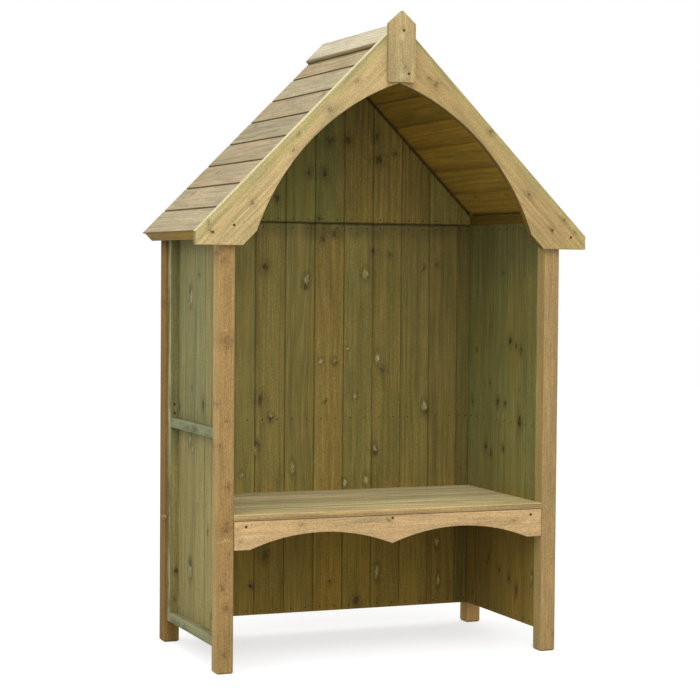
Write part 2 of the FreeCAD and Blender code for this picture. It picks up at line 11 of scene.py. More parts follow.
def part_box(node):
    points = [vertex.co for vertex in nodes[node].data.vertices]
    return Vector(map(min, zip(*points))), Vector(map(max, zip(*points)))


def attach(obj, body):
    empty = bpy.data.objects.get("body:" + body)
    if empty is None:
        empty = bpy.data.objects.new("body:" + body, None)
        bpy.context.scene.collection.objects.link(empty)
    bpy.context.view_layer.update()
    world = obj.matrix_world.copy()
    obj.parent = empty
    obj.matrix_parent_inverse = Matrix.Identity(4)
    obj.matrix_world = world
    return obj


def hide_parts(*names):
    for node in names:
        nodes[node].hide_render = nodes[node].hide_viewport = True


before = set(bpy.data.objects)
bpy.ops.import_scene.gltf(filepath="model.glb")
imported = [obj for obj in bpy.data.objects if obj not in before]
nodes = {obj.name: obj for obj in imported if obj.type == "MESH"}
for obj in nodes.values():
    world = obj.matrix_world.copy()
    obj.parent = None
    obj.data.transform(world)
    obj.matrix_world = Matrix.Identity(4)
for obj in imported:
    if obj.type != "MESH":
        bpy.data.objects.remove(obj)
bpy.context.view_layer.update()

bl_info = {
    "name": "Arbour seat",
    "version": (1, 0, 0),
    "blender": (4, 5, 0),
    "location": "3D View > Sidebar > Arbour",
    "description": "Finishes the timber of an arbour seat and sets up its studio",
    "category": "Object",
}

EAST = (1, 0, 0)
WEST = (-1, 0, 0)
NORTH = (0, 1, 0)
UP = (0, 0, 1)
HALF = math.sqrt(0.5)

# Down the right slope of the roof, and square out of it.
DOWN = (HALF, 0, -HALF)
OUT = (HALF, 0, HALF)

# Axes of a board: across its face, through its thickness and along its grain.
ACROSS, THROUGH, ALONG = range(3)

# Size and start of a board on an axis that doesn't divide it, in metres.
LONG = 9
LOW = -LONG / 2

# Ends of a band that goes on to the end of the timber, in metres.
START = -1.0
END = 2.0

# Layers of the figure: how much each lightens and darkens the wood, its noise's cycles per metre
# across, through and along the grain, and the noise's detail, roughness and distortion.
LAYERS = {
    "wide": (0.06, (30.0, 30.0, 0.7), 2.0, 0.5),
    "streak": (0.17, (150.0, 150.0, 1.8), 3.0, 0.65),
    "fibre": (0.17, (430.0, 430.0, 11.0), 2.0, 0.65),
    "speck": (0.20, (400.0, 400.0, 230.0), 1.0, 0.5),
    "cloud": (0.12, (20.0, 20.0, 5.0), 5.0, 0.65, 0.3),
}

# Noise of the growth rings, of their fading, and of the loose edges of bands, dirt and shade.
RING_NOISE = ((4.5, 9.0, 0.6), 2.0, 0.5, 0.2)
RING_FADE_NOISE = ((12.0, 12.0, 1.1), 1.0)
BAND_NOISE = ((30.0, 30.0, 3.0), 2.0)
DIRT_NOISE = ((60.0, 60.0, 12.0), 2.0)
SHADE_NOISE = ((30.0, 30.0, 4.0), 2.0)

# Random knots: cells per metre on the board's axes, radii in metres, how much each axis counts in their
# distance, and the outline's two bends, each with its noise and its reach in metres.
KNOT_CELLS = (8.5, 1.2, 5.0)
KNOT_RADII = (0.0022, 0.0095)
KNOT_SHAPE = (1.0, 0.0, 0.8)
SLOW_BEND = ((75.0, 75.0, 55.0), (0.014, 0.0, 0.020))
FINE_BEND = ((300.0, 300.0, 150.0), (0.016, 0.0, 0.026))

# A random knot's pale spot of sap: its shape, and how many radii it lies up the grain.
SAP_SHAPE = (0.8, 0.0, 0.36)
SAP_OFFSET = 1.9

# Added to the distance of a knot or a pale spot that is left out.
ABSENT = 60.0

# Where the parts of a knot and of a pale spot start and stop fading, in radii.
HEART_FADE = (0.55, 0.85)
KNOT_FADE = (0.7, 1.15)
HALO_FADE = (0.9, 3.0)
SAP_FADE = (0.2, 1.1)
RIM_RISE = (0.8, 1.2)
RIM_FADE = (1.3, 2.4)

# Random step from a board's place in the noise to the next one's.
BOARD_SHIFT = (37.0, 23.0, 51.0)

# Tints of the warm and the green parts of the wood.
WARM = (1.09, 0.98, 0.84)
GREENISH = (0.90, 1.02, 1.03)

# Relief and shine of the wood's surface.
RELIEF_STRENGTH = 0.35
RELIEF_DEPTH = 0.0006
WOOD_SHINE = 0.25

# Meshes: corners nearer than this are joined, in metres, and so are faces flatter than this angle.
# Edges sharper than the last angle are rounded.
MERGE_DISTANCE = 1e-5
FLAT_ANGLE = math.radians(1)
SHARP_ANGLE = math.radians(25)


def linear(code):
    """A colour written as a hex code, in the linear values that shaders take."""
    values = [int(code[i:i + 2], 16) / 255 for i in (1, 3, 5)]
    return tuple(v / 12.92 if v <= 0.04045 else ((v + 0.055) / 1.055) ** 2.4 for v in values)


def colour_property(owner, code):
    return FloatVectorProperty(
        name=owner.capitalize(), description=f"Colour of the {owner}", default=linear(code),
        subtype="COLOR", size=3, min=0, max=1)


def length_property(name, description, default):
    return FloatProperty(
        name=name, description=description, default=default, min=0, unit="LENGTH", subtype="DISTANCE")


def lamp_property(name, place, default):
    return FloatProperty(
        name=name, description=f"Power of the large lamp {place}", default=default, min=0, unit="POWER")


class Shade:
    """Colours that weather, damp and dirt add to the timber, painted shadow, shade and light that stand in
    for how light falls on it, and rust to the metal.
    """

    # Cream for rounded edges: wear, and a painted highlight where light catches them.
    worn_and_highlit_edge = linear("#E6D3A4")
    sap = linear("#B4B78E")
    rust = linear("#5A3A22")
    # Dirt and painted shade in the joints between boards.
    joint_dirt_and_shade = linear("#2E2710")
    # Painted shade on the front posts' rounded corners.
    post_edge_shade = linear("#8A6E42")
    post_sap = linear("#DDC08C")
    post_shadow = linear("#4A4220")
    # Wear and a painted highlight on the browned post's rounded corners.
    dark_post_worn_highlit_edge = linear("#C9A874")
    dark_post_sap = linear("#C09A62")
    # Painted shadow at the top of the browned post, under the eaves rail.
    dark_post_top_shadow = linear("#4E3C1C")
    stile_side = linear("#7F7A4C")
    stile_stain = linear("#7D774C")
    stile_low = linear("#958851")
    rail = linear("#868966")
    rail_side = linear("#8A8C6C")
    rail_stain = linear("#666A50")
    back_frame_stain = linear("#7F8263")
    outside_low = linear("#998C56")
    # Painted shade at the top of the side walls' inside, under the wall plates.
    side_top_shade = linear("#4A5238")
    side_middle = linear("#8C8A52")
    # Painted warm light on a side wall's inside below the seat.
    side_under_seat_light = linear("#9E7620")
    # Painted shade at the top of the back boards' inside.
    back_top_shade = linear("#3F4429")
    back_right = linear("#6A5B2B")
    back_left = linear("#85804A")
    # Painted warm light on the back boards below the seat.
    back_under_seat_light = linear("#A07F2A")
    # Painted shade in the back's corner with the right wall.
    back_corner_shade = linear("#46441F")
    gable_left = linear("#7C7F42")
    # Dirt and painted shade in the joints of the roof boards.
    roof_joint_dirt_and_shade = linear("#6B5A36")
    # Painted shade near the ridge: the caps' shadow on the boards and dark lines on the caps.
    ridge_shade = linear("#554426")
    lap_shadow = linear("#3A2C0C")
    # Painted shade on the caps' down-slope edge faces.
    cap_edge_shade = linear("#A28E60")
    barge_green = linear("#A09C62")
    # A painted highlight on the bargeboards' top edges.
    barge_top_highlight = linear("#E2D9B4")
    finial_sap = linear("#BCB78F")
    # Painted light on the rear half of the seat.
    seat_rear_light = linear("#E0CFA2")
    # Painted shade where the seat boards meet the apron.
    seat_joint_shade = linear("#4E3C20")


class ARBOUR_PG_sizes(bpy.types.PropertyGroup):
    """Sizes of the details that the dressed model adds."""

    batten_easing: length_property("Batten easing", "Radius on the corners of the frame battens", 0.0014)
    board_easing: length_property("Board easing", "Radius on the corners of the apron and the finial", 0.0012)
    board_cover: length_property("Board cover", "Width that one board covers", 0.1005)
    seat_pitch: length_property("Seat pitch", "Width of a seat board and the gap after it", 0.1064)
    ring_width: length_property("Ring width", "Usual distance between growth rings", 0.009)
    recess_width: length_property("Recess width", "Width of the slots in a screw's head", 0.0012)
    recess_length: length_property("Recess length", "Length of the slots in a screw's head", 0.0048)
    recess_depth: length_property("Recess depth", "Depth of the slots in a screw's head", 0.0012)


class ARBOUR_PG_colours(bpy.types.PropertyGroup):
    """Colours of the timber and the fixings."""

    posts: colour_property("posts", "#A48555")
    left_post: colour_property("left front post", "#9C7F4F")
    # A lighter copy of the posts' colour for the front posts' left sides: painted light.
    lit_post_sides: colour_property("front posts' left sides", "#B1955F")
    # A lighter copy of the posts' colour for the right rear post's inside, in shade under the seat: painted
    # light.
    lightened_post_inside: colour_property("right rear post's inside", "#B59456")
    dark_post: colour_property("browned post", "#866A37")
    side_frame: colour_property("battens of the side walls", "#AAA27D")
    side_outside: colour_property("side boards' outside", "#8C8556")
    side_inside: colour_property("side boards' inside", "#7C7540")
    back_inside: colour_property("back boards' inside", "#80713B")
    # A darker copy of the back boards' inside for the gable boards, in shade under the roof: painted shade.
    gable_inside_shade: colour_property("gable boards' inside", "#7B6C35")
    back_outside: colour_property("back boards' outside", "#98905F")
    roof_top: colour_property("roof boards in the weather", "#B2A07E")
    roof_under: colour_property("roof boards seen from below", "#A68635")
    plates: colour_property("wall plates", "#70591F")
    gable_frame: colour_property("battens behind the gable", "#5C481A")
    eaves_rails: colour_property("battens at the eaves", "#A6843F")
    ridge_caps: colour_property("ridge boards", "#D3C7A8")
    left_barge: colour_property("left arched board", "#B49F70")
    right_barge: colour_property("right arched board", "#A68F5F")
    # A darker copy of the bargeboards' wood for the arch's edges: painted shade.
    barge_arch_shade: colour_property("sawn edges of the arch", "#77622E")
    finial: colour_property("pointed board", "#AB976A")
    seat: colour_property("seat boards", "#C8B685")
    nosing: colour_property("seat's front edge", "#A88C5A")
    apron: colour_property("shaped board below the seat", "#C1A476")
    knots: colour_property("knots' hearts", "#1E170A")
    bark: colour_property("rings round the knots", "#62451F")
    screws: colour_property("screws", "#67532F")
    nails: colour_property("nails", "#2B2216")


class ARBOUR_PG_studio(bpy.types.PropertyGroup):
    """The studio: camera, lamps and floor."""

    lens: FloatProperty(
        name="Lens", description="Focal length of the camera", default=101.285, min=1, unit="CAMERA")
    camera_place: FloatVectorProperty(
        name="Camera place", description="Where the camera stands",
        default=(-2.310977, -5.642424, 1.171126), size=3, unit="LENGTH", subtype="TRANSLATION")
    camera_turn: FloatVectorProperty(
        name="Camera turn", description="Pitch, roll and yaw of the camera",
        default=(-0.04088, 0.00813, -0.38449), size=3, unit="ROTATION", subtype="EULER")
    sky_strength: FloatProperty(
        name="Sky strength", description="Strength of the soft light from all round", default=0.72, min=0)
    high_lamp: lamp_property("High lamp", "above the camera", 126)
    front_lamp: lamp_property("Front lamp", "in front", 66)
    left_lamp: lamp_property("Left lamp", "on the left", 72)
    floor_radius: length_property("Floor radius", "Radius of the pale floor", 14.0)


class ARBOUR_PG_settings(bpy.types.PropertyGroup):
    """Everything that can be set on the arbour seat."""

    sizes: PointerProperty(type=ARBOUR_PG_sizes, name="Sizes", description="Sizes of the details")
    colours: PointerProperty(type=ARBOUR_PG_colours, name="Colours", description="Colours of the parts")
    studio: PointerProperty(type=ARBOUR_PG_studio, name="Studio", description="Camera, lamps and floor")


def settings():
    return bpy.context.scene.arbour_seat


class NodeBoard:
    """A node tree, with short ways to add the nodes that a finish needs."""

    def __init__(self, tree):
        self.tree = tree

    def add(self, kind, **choices):
        node = self.tree.nodes.new(kind)
        for key, value in choices.items():
            setattr(node, key, value)
        return node

    def plug(self, value, socket):
        if isinstance(value, bpy.types.NodeSocket):
            self.tree.links.new(value, socket)
        else:
            socket.default_value = value

    def maths(self, operation, *values, clamp=False):
        node = self.add("ShaderNodeMath", operation=operation, use_clamp=clamp)
        for value, socket in zip(values, node.inputs):
            self.plug(value, socket)
        return node.outputs[0]

    def times(self, first, *others):
        for other in others:
            first = self.maths("MULTIPLY", first, other)
        return first

    def plus(self, first, *others):
        for other in others:
            first = self.maths("ADD", first, other)
        return first

    def average(self, first, second):
        return self.plus(self.times(first, 0.5), self.times(second, 0.5))

    def vector(self, operation, *values):
        node = self.add("ShaderNodeVectorMath", operation=operation)
        for value, socket in zip(values, node.inputs):
            self.plug(value, socket)
        return node.outputs["Value" if operation in ("DOT_PRODUCT", "LENGTH") else "Vector"]

    def combine(self, x, y, z):
        node = self.add("ShaderNodeCombineXYZ")
        for value, socket in zip((x, y, z), node.inputs):
            self.plug(value, socket)
        return node.outputs[0]

    def split(self, value):
        node = self.add("ShaderNodeSeparateXYZ")
        self.plug(value, node.inputs[0])
        return node.outputs[:]

    def noise(self, place, stretch, detail=2.0, roughness=0.5, distortion=0.0, output="Fac"):
        node = self.add("ShaderNodeTexNoise")
        self.plug(self.vector("MULTIPLY", place, stretch), node.inputs["Vector"])
        for name, value in (("Scale", 1.0), ("Detail", detail), ("Roughness", roughness),
                            ("Distortion", distortion)):
            node.inputs[name].default_value = value
        return node.outputs[output]

    def spread(self, value, low, high, to_low=0.0, to_high=1.0, smooth=True):
        node = self.add("ShaderNodeMapRange", interpolation_type="SMOOTHSTEP" if smooth else "LINEAR")
        for part, socket in zip((value, low, high, to_low, to_high), node.inputs):
            self.plug(part, socket)
        return node.outputs["Result"]

    def fade(self, value, low, high):
        return self.spread(value, low, high, 1.0, 0.0)

    def ramp(self, value, low, high, to_low, to_high):
        return self.spread(value, low, high, to_low, to_high, smooth=False)

    def contrast(self, value, amount):
        """A factor round 1 from the usual range of a noise."""
        return self.ramp(value, 0.3, 0.7, 1.0 + amount, 1.0 - amount)

    def mix(self, amount, first, second, blend="MIX"):
        node = self.add("ShaderNodeMix", data_type="RGBA", blend_type=blend, clamp_factor=True)
        self.plug(amount, node.inputs[0])
        for value, socket in ((first, node.inputs[6]), (second, node.inputs[7])):
            if not isinstance(value, bpy.types.NodeSocket):
                value = (*tuple(value)[:3], 1.0)
            self.plug(value, socket)
        return node.outputs[2]

    def scaled(self, colour, factor):
        return self.mix(1.0, colour, self.combine(factor, factor, factor), blend="MULTIPLY")


class Surface(NodeBoard):
    """The node tree of a new material, with its shader."""

    def __init__(self, name):
        self.material = bpy.data.materials.new(name)
        self.material.use_nodes = True
        super().__init__(self.material.node_tree)
        self.tree.nodes.clear()
        self.shader = self.add("ShaderNodeBsdfPrincipled")
        output = self.add("ShaderNodeOutputMaterial")
        self.plug(self.shader.outputs["BSDF"], output.inputs["Surface"])

    def set(self, name, value):
        self.plug(value, self.shader.inputs[name])


class Timber(Surface):
    """Softwood on the axes of its own board: across the face, through the thickness, along the grain.

    board is the size of one board on these axes, so that each board gets its own figure and tone. With
    fold, the left half of the object mirrors the right one's axes."""

    def __init__(self, name, across, through, along, board=(LONG, LONG, LONG), start=(LOW, LOW, LOW),
                 fold=False, seed=0):
        super().__init__(name)
        coordinates = self.add("ShaderNodeTexCoord")
        place = coordinates.outputs["Object"]
        normal = coordinates.outputs["Normal"]
        side = 0.0
        if fold:
            x, y, z = self.split(place)
            side = self.maths("SIGN", x)
            place = self.combine(self.maths("ABSOLUTE", x), y, z)
            x, y, z = self.split(normal)
            normal = self.combine(self.times(x, side), y, z)
        axes = (across, through, along)
        self.place = self.combine(*[self.vector("DOT_PRODUCT", place, axis) for axis in axes])
        self.facing = [self.vector("DOT_PRODUCT", normal, axis) for axis in axes]
        self.normal = normal
        steps = self.vector("DIVIDE", self.vector("SUBTRACT", self.place, start), board)
        cell = self.vector("ADD", self.vector("FLOOR", steps), self.combine(side, float(seed), 0.0))
        self.width = board[ACROSS]
        self.into_board = self.times(self.maths("FRACT", self.split(steps)[ACROSS]), self.width)
        lot = self.add("ShaderNodeTexWhiteNoise", noise_dimensions="3D")
        self.plug(cell, lot.inputs["Vector"])
        self.draws = self.split(lot.outputs["Color"])
        shift = self.vector("MULTIPLY", lot.outputs["Color"], BOARD_SHIFT)
        self.wood_place = self.vector("ADD", self.place, shift)

    def grow_knots(self, share, places, pale_places, sap_share):
        """Knots: a share of the random cells has one, and places adds the ones that stand out."""
        bend = self.vector("ADD", self.wander(*SLOW_BEND), self.wander(*FINE_BEND))
        bent_place = self.vector("ADD", self.place, bend)
        cell_place = self.vector("MULTIPLY", self.vector("ADD", self.wood_place, bend), KNOT_CELLS)
        cells = self.add("ShaderNodeTexVoronoi")
        self.plug(cell_place, cells.inputs["Vector"])
        cells.inputs["Scale"].default_value = 1.0
        draws = self.split(cells.outputs["Color"])
        away = self.vector("DIVIDE", self.vector("SUBTRACT", cell_place, cells.outputs["Position"]),
                           KNOT_CELLS)
        radius = self.ramp(draws[1], 0.0, 1.0, *KNOT_RADII)
        missing = self.times(self.maths("GREATER_THAN", draws[0], share), ABSENT)
        reach = self.vector("LENGTH", self.vector("MULTIPLY", away, KNOT_SHAPE))
        ratio = self.plus(self.maths("DIVIDE", reach, radius), missing)
        ratio = self.nearest(ratio, bent_place, places)
        pale_away = self.vector("ADD", away, self.combine(0.0, 0.0, self.times(radius, SAP_OFFSET)))
        pale_reach = self.vector("LENGTH", self.vector("MULTIPLY", pale_away, SAP_SHAPE))
        plain = self.times(self.maths("GREATER_THAN", draws[2], sap_share), ABSENT)
        pale = self.plus(self.maths("DIVIDE", pale_reach, radius), self.plus(missing, plain))
        pale = self.nearest(pale, bent_place, pale_places)
        self.pale = self.fade(pale, *SAP_FADE)
        self.rim = self.times(self.spread(pale, *RIM_RISE), self.fade(pale, *RIM_FADE))
        self.knot = self.fade(ratio, *KNOT_FADE)
        self.heart = self.fade(ratio, *HEART_FADE)
        self.halo = self.fade(ratio, *HALO_FADE)

    def wander(self, stretch, reach):
        """A small random push, which makes an outline uneven."""
        draw = self.noise(self.wood_place, stretch, 1.0, output="Color")
        return self.vector("MULTIPLY", self.vector("SUBTRACT", draw, (0.5, 0.5, 0.5)), reach)

    def nearest(self, ratio, place, ovals):
        for oval in ovals:
            ratio = self.maths("MINIMUM", ratio, self.oval(place, *oval))
        return ratio

    def oval(self, place, across, along, radius, stretch=1.25):
        """Distance from the middle of an oval, in its radii. Its place and radius are in millimetres,
        and stretch is its length over its width."""
        across, along, radius = (value / 1000 for value in (across, along, radius))
        away = self.vector("SUBTRACT", place, (across, 0.0, along))
        return self.vector("LENGTH", self.vector("MULTIPLY", away, (1 / radius, 0.0, 1 / radius / stretch)))

    def grow_rings(self, strength):
        """Late wood: contour lines of a slow field, stretched along the grain and bent round knots."""
        ring = settings().sizes.ring_width
        slow = self.noise(self.wood_place, *RING_NOISE)
        across, through, _ = self.split(self.place)
        field = self.plus(self.times(slow, 11.0), self.times(across, 1 / ring / 3.0),
                          self.times(through, 1 / ring / 2.4), self.times(self.halo, 1.6))
        phase = self.maths("FRACT", field)
        line = self.times(self.spread(phase, 0.1, 0.75), self.fade(phase, 0.8, 1.0))
        gap = self.spread(self.noise(self.wood_place, *RING_FADE_NOISE), 0.35, 0.65)
        self.late_wood = self.times(line, gap)
        return self.ramp(self.late_wood, 0.0, 1.0, 1.0 + 0.05 * strength, 1.0 - 0.16 * strength)

    def lay_bands(self, tone, bands, where):
        """Strips of another colour: the axis, where it starts and ends, its soft edge, colour, strength."""
        loose = self.noise(self.wood_place, *BAND_NOISE)
        for axis, low, high, soft, shade, amount in bands:
            reach = self.plus(self.split(self.place)[axis],
                              self.ramp(loose, 0.3, 0.7, -0.7 * soft, 0.7 * soft))
            inside = self.times(self.spread(reach, low - soft, low + soft),
                                self.fade(reach, high - soft, high + soft), where, amount)
            tone = self.mix(inside, tone, shade)
        return tone

    def joint_dirt_and_shade(self, before, after, amount):
        """How dark the wood is painted near a board's edges, after its start and before its end: dirt, and
        painted shade in the joint.
        """
        loose = self.spread(self.noise(self.wood_place, *DIRT_NOISE), 0.3, 0.7, 0.75, 1.0)
        start = self.fade(self.into_board, after * 0.6, after * 1.3)
        end = self.spread(self.into_board, self.width - before * 1.3, self.width - before * 0.6)
        return self.times(self.maths("MAXIMUM", start, end), loose, amount)

    def end_shade(self, reach, lap, amount):
        """How dark the wood is towards a board's lower end, which stops a lap before the next lip."""
        joint = self.width - lap
        loose = self.spread(self.noise(self.wood_place, *SHADE_NOISE), 0.3, 0.7, 0.6, 1.0)
        return self.times(self.spread(self.into_board, joint - reach, joint),
                          self.maths("LESS_THAN", self.into_board, joint), loose, amount)

    def finish(self, colour, back_colour=None, outward=None, knots=0.3, places=(), pale_places=(),
               streaks=1.0, rings=1.0, variety=0.07, hue=0.5, corners=(Shade.worn_and_highlit_edge, 0.25), bands=(),
               depth=0.85, sap=Shade.sap, sap_share=0.3, mottle=None, joints=None, inside_bands=False,
               outside_bands=(), lower_ends=None):
        """Mixes the figure into the wood's colour, and adds roughness and relief. With back_colour, the
        faces that don't point outward get it, or without outward the edges round the board's face."""
        self.grow_knots(knots, places, pale_places, sap_share)
        factors = [self.grow_rings(rings)]
        layers = {}
        for name, (amount, *noise) in LAYERS.items():
            layers[name] = self.noise(self.wood_place, *noise)
            strength = streaks if name in ("wide", "streak") else 1.0
            factors.append(self.contrast(layers[name], amount * strength))
        factors.append(self.ramp(self.draws[0], 0.0, 1.0, 1.0 - variety, 1.0 + variety))
        factors.append(self.ramp(self.halo, 0.0, 1.0, 1.0, 0.88 - 0.12 * depth))
        factors.append(self.ramp(self.rim, 0.0, 1.0, 1.0, 1.0 - 0.32 * depth))
        factor = self.times(*factors)
        streak, fibre, speck, cloud = (layers[name] for name in ("streak", "fibre", "speck", "cloud"))

        thick = self.maths("ABSOLUTE", self.facing[THROUGH])
        wood = colour
        banded = inside = front = 1.0
        if back_colour is not None:
            away = thick if outward is None else self.vector("DOT_PRODUCT", self.normal, outward)
            front = self.spread(away, 0.1, 0.4)
            wood = self.mix(front, back_colour, colour)
            inside = self.maths("SUBTRACT", 1.0, front)
            if inside_bands:
                banded = inside
        warm = self.mix(1.0, wood, WARM, "MULTIPLY")
        green = self.mix(1.0, wood, GREENISH, "MULTIPLY")
        turn = self.plus(self.average(cloud, streak), self.ramp(self.draws[1], 0.0, 1.0, -0.12, 0.12))
        tone = self.mix(hue, wood, self.mix(self.spread(turn, 0.36, 0.64), warm, green))
        if mottle is not None:
            tone = self.mix(self.spread(cloud, 0.46, 0.62), tone, mottle)
        tone = self.lay_bands(tone, bands, banded)
        tone = self.lay_bands(tone, outside_bands, front)
        tone = self.scaled(tone, factor)
        if lower_ends is not None:
            reach, lap, shade, amount = lower_ends
            tone = self.mix(self.times(self.end_shade(reach, lap, amount), inside), tone, shade)
        if joints is not None:
            before, after, shade, amount, lowest = joints
            outside = self.spread(self.split(self.place)[THROUGH], lowest, lowest + 0.0004)
            tone = self.mix(self.times(self.joint_dirt_and_shade(before, after, amount), outside), tone, shade)
        # Rounded corners take the corners' colour: by default wear with a painted highlight, on some timbers
        # painted shade, or dirt with painted shade.
        corner = self.times(self.spread(thick, 0.08, 0.35), self.fade(thick, 0.85, 0.97))
        tone = self.mix(self.times(corner, corners[1]), tone, corners[0])

        colours = settings().colours
        sap_shine = self.ramp(self.average(speck, streak), 0.45, 0.55, 0.1, 1.0)
        tone = self.mix(self.times(self.pale, sap_shine), tone, sap)
        bark = self.mix(0.45, colours.bark, tone)
        ragged = self.ramp(speck, 0.35, 0.65, 0.35, 1.0)
        tone = self.mix(self.times(self.knot, self.times(ragged, 0.5 + 0.5 * depth)), tone, bark)
        tone = self.mix(self.times(self.heart, self.times(ragged, depth)), tone, colours.knots)
        end = self.spread(self.maths("ABSOLUTE", self.facing[ALONG]), 0.8, 0.95)
        tone = self.mix(self.times(end, 0.6), tone, self.scaled(tone, 0.72))
        self.set("Base Color", tone)

        rough = self.maths("SUBTRACT", self.ramp(fibre, 0.2, 0.8, 0.7, 0.86), self.times(self.knot, 0.12))
        self.set("Roughness", rough)
        self.set("Specular IOR Level", WOOD_SHINE)
        height = self.plus(self.times(fibre, 0.6), self.times(streak, 0.5), self.times(self.late_wood, 0.4),
                           self.times(self.knot, 0.5))
        bump = self.add("ShaderNodeBump")
        for part, value in (("Strength", RELIEF_STRENGTH), ("Distance", RELIEF_DEPTH), ("Height", height)):
            self.plug(value, bump.inputs[part])
        self.set("Normal", bump.outputs[0])
        return self.material


def metal(name, colour):
    """Dull plated steel with a little rust where it has weathered."""
    look = Surface(name)
    place = look.add("ShaderNodeTexCoord").outputs["Object"]
    spots = look.noise(place, (900.0, 900.0, 900.0), 3.0, 0.6)
    rust = look.spread(spots, 0.45, 0.7)
    look.set("Base Color", look.mix(rust, colour, Shade.rust))
    look.set("Roughness", look.ramp(rust, 0.0, 1.0, 0.42, 0.85))
    look.set("Metallic", look.ramp(rust, 0.0, 1.0, 0.9, 0.15))
    return look.material


def matching(*starts):
    found = sorted(name for name in nodes if name.startswith(starts))
    if not found:
        raise RuntimeError(f"no node of the packed model starts with {starts}")
    return found


def finish_nodes(material, *starts):
    """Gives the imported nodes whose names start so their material."""
    for node in matching(*starts):
        mesh = nodes[node].data
        if not mesh.materials:
            mesh.materials.append(material)
        for index in range(len(mesh.materials)):
            mesh.materials[index] = material


def add_piece(name, mesh, material, slot, *replaced):
    mesh.materials.clear()
    mesh.materials.append(material)
    piece = bpy.data.objects.new(name, mesh)
    bpy.context.scene.collection.objects.link(piece)
    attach(piece, "root")
    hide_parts(*replaced)


def merged_copy(node):
    """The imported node's shape with its loose triangles joined into whole faces."""
    shape = bmesh.new()
    shape.from_mesh(nodes[node].data)
    bmesh.ops.remove_doubles(shape, verts=shape.verts, dist=MERGE_DISTANCE)
    bmesh.ops.dissolve_limit(shape, angle_limit=FLAT_ANGLE, verts=shape.verts, edges=shape.edges)
    return shape


def new_mesh(name, shape, smooth_angle):
    """A mesh of the shape, whose edges are sharp above an angle in degrees."""
    mesh = bpy.data.meshes.new(name)
    shape.to_mesh(mesh)
    shape.free()
    mesh.set_sharp_from_angle(angle=math.radians(smooth_angle))
    return mesh


def eased_copy(node, radius, material, slot):
    """A copy of a timber with its sharp corners rounded, as a planed batten has them."""
    shape = merged_copy(node)
    sharp = [edge for edge in shape.edges
             if len(edge.link_faces) == 2 and edge.calc_face_angle(0) > SHARP_ANGLE]
    bmesh.ops.bevel(shape, geom=sharp, offset=radius, segments=2, profile=0.5, affect="EDGES",
                    material=-1, clamp_overlap=True)
    for face in shape.faces:
        face.smooth = True
    name = f"{node}_timber"
    add_piece(name, new_mesh(name, shape, smooth_angle=40), material, slot, node)


def eased_battens(material, slot, *starts):
    for node in matching(*starts):
        eased_copy(node, settings().sizes.batten_easing, material, slot)


class ARBOUR_OT_posts(bpy.types.Operator):
    """Finish the four posts"""
    bl_idname = "arbour.posts"
    bl_label = "Posts"

    # Knots that stand out on the left front post: millimetres across and up it, and the radius. A fourth
    # number, in all lists of marks, is the length over the width.
    KNOTS = (
        (-532, 1195, 9), (-550, 1216, 6), (-520, 951, 10), (-549, 780, 5), (-521, 729, 6),
        (-541, 662, 6), (-517, 543, 7), (-519, 439, 8), (-512, 346, 5), (-533, 252, 6), (-521, 190, 8),
        (-526, 57, 8), (-523, 965, 20, 0.7), (-523, 420, 16, 0.8))

    # Pale lines where a branch ran across the post.
    SPIKES = ((-530, 992, 16, 0.16), (-525, 385, 30, 0.10), (-521, 722, 10, 0.15))

    # A pale spot on the left rear post.
    REAR_PALE = ((-548, 394, 7, 0.8),)

    def execute(self, context):
        colours = settings().colours
        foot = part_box("side_right_rear_stile")[0].z
        shadow = (ALONG, foot, END, 0.003, Shade.post_shadow, 0.85)
        # Each front post's left side gets a lighter copy of its colour, painted light. The right rear post's
        # inside gets a lighter copy too, painted light, with a painted shadow from the foot of the stile up.
        for node, colour, back_colour, outward, bands in (
                ("post_front_left", colours.lit_post_sides, colours.left_post, WEST, ()),
                ("post_front_right", colours.lit_post_sides, colours.posts, WEST, ()),
                ("post_rear_right", colours.posts, colours.lightened_post_inside, (HALF, HALF, 0), (shadow,))):
            look = Timber(f"{node}_wood", EAST, NORTH, UP, board=(0.6, 0.5, LONG), start=(-0.6, -0.5, LOW))
            material = look.finish(
                colour, back_colour, outward, knots=0.25, places=self.KNOTS, pale_places=self.SPIKES,
                streaks=0.7, rings=0.4, variety=0.04, hue=0.4, depth=0.25, sap=Shade.post_sap,
                # The rounded corners get painted shade.
                sap_share=0.0, corners=(Shade.post_edge_shade, 0.5), bands=bands, inside_bands=True)
            finish_nodes(material, node)
        look = Timber("dark_post_wood", EAST, NORTH, UP)
        material = look.finish(
            colours.dark_post, knots=0.5, streaks=1.2, depth=0.6, pale_places=self.REAR_PALE,
            # Its rounded corners get wear and a painted highlight.
            sap=Shade.dark_post_sap, sap_share=0.0, corners=(Shade.dark_post_worn_highlit_edge, 0.1),
            # Painted shadow at the top, under the eaves rail.
            bands=((ALONG, 1.22, END, 0.03, Shade.dark_post_top_shadow, 0.6),))
        finish_nodes(material, "post_rear_left")
        return {"FINISHED"}


